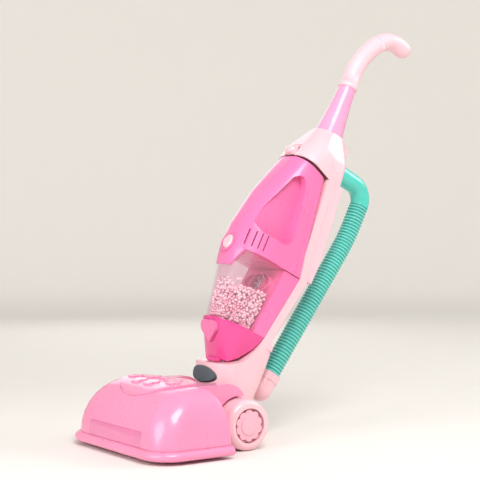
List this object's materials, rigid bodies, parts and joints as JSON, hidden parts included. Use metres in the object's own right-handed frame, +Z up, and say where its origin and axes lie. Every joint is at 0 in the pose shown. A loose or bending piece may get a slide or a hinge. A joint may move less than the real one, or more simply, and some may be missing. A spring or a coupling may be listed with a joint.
{
  "type": "toy upright vacuum cleaner",
  "caption": "Pink toy upright vacuum cleaner with reclining handle, ribbed turquoise hose, clear bead chamber, hand-held unit and rolling head.",
  "frame": {"origin": "middle of the bounding box's bottom, on the floor", "axes": "+Z up, the head's front towards -Y, +X to the cleaner's own left"},
  "size_m": [0.256, 0.548, 0.6136],
  "materials": {
    "pink_gloss": "glossy moulded",
    "hot_pink": "glossy moulded",
    "deep_pink": "glossy moulded",
    "pale_gloss": "glossy moulded",
    "grip_pale": "soft satin",
    "tube_pink": "glossy moulded",
    "hub_pink": "glossy moulded",
    "window_tint": "smooth tinted",
    "clear_pink": "clear, faintly pink",
    "pearl_white": "pearly",
    "turquoise_gloss": "glossy moulded",
    "turquoise_hose": "satin ribbed",
    "pedal_grey": "fine grain",
    "white_plastic": "smooth",
    "black_plastic": "smooth",
    "steel": "zinc plated",
    "dark_iron": "as cast",
    "battery_metal": "labelled jacket left bare"
  },
  "bodies": {
    "head": {"head_shell": "pink_gloss", "base_tray": "pink_gloss", "flower_panel": "pink_gloss", "front_window": "window_tint", "ballast_weight": "dark_iron", "glide_pads": "white_plastic", "wheel_axle": "steel", "hinge_pins": "steel", "tray_screws": "steel"},
    "left_wheel": {"wheel_left": "pale_gloss", "hub_left": "hub_pink"},
    "right_wheel": {"wheel_right": "pale_gloss", "hub_right": "hub_pink"},
    "upright": {"front_frame": "pale_gloss", "rear_cover": "pale_gloss", "handle_tube": "tube_pink", "handle_grip": "grip_pale", "hose_elbow": "turquoise_gloss", "hose": "turquoise_hose", "cuff_ring": "pale_gloss", "cuff_cap": "pale_gloss", "cover_screws": "steel"},
    "pedal": {"foot_pedal": "pedal_grey"},
    "latch": {"release_latch": "pale_gloss"},
    "handheld": {"handheld_shell": "hot_pink", "handheld_back": "hot_pink", "clear_chamber": "clear_pink", "chamber_back": "hot_pink", "bin_base": "deep_pink", "button_bezel": "hot_pink", "power_switch": "black_plastic", "motor": "steel", "battery_box": "black_plastic", "batteries": "battery_metal", "bead_pile": "pearl_white", "back_screws": "steel"},
    "heart": {"heart_button": "hot_pink"},
    "power": {"power_button": "pale_gloss"},
    "impeller": {"fan": "white_plastic"}
  },
  "joints": [
    {"name": "recline", "type": "hinge", "parent": "head", "child": "upright", "pos_m": [0, -0.09507, 0.062], "axis": [-1, 0, 0], "range_deg": [-20, 25]},
    {"name": "left_wheel_spin", "type": "hinge", "parent": "head", "child": "left_wheel", "pos_m": [0, -0.10307, 0.035], "axis": [1, 0, 0], "continuous": true},
    {"name": "right_wheel_spin", "type": "hinge", "parent": "head", "child": "right_wheel", "pos_m": [0, -0.10307, 0.035], "axis": [1, 0, 0], "continuous": true},
    {"name": "handheld_tilt", "type": "hinge", "parent": "upright", "child": "handheld", "pos_m": [0, -0.10202, 0.11885], "axis": [1, 0, 0], "range_deg": [0, 15]},
    {"name": "pedal_press", "type": "slide", "parent": "upright", "child": "pedal", "axis": [0, 0.891, -0.454], "range_m": [0, 0.003], "stiffness_N_per_m": 600},
    {"name": "latch_slide", "type": "slide", "parent": "upright", "child": "latch", "axis": [0, 0.454, 0.891], "range_m": [0, 0.003], "stiffness_N_per_m": 500},
    {"name": "power_press", "type": "slide", "parent": "handheld", "child": "power", "axis": [0, 0.891, -0.454], "range_m": [0, 0.002], "stiffness_N_per_m": 500},
    {"name": "heart_press", "type": "slide", "parent": "handheld", "child": "heart", "axis": [0, 0.9962, 0.0872], "range_m": [0, 0.002], "stiffness_N_per_m": 500},
    {"name": "fan_spin", "type": "hinge", "parent": "handheld", "child": "impeller", "pos_m": [0, -0.01426, 0.2206], "axis": [0, 0.891, -0.454], "continuous": true}
  ]
}
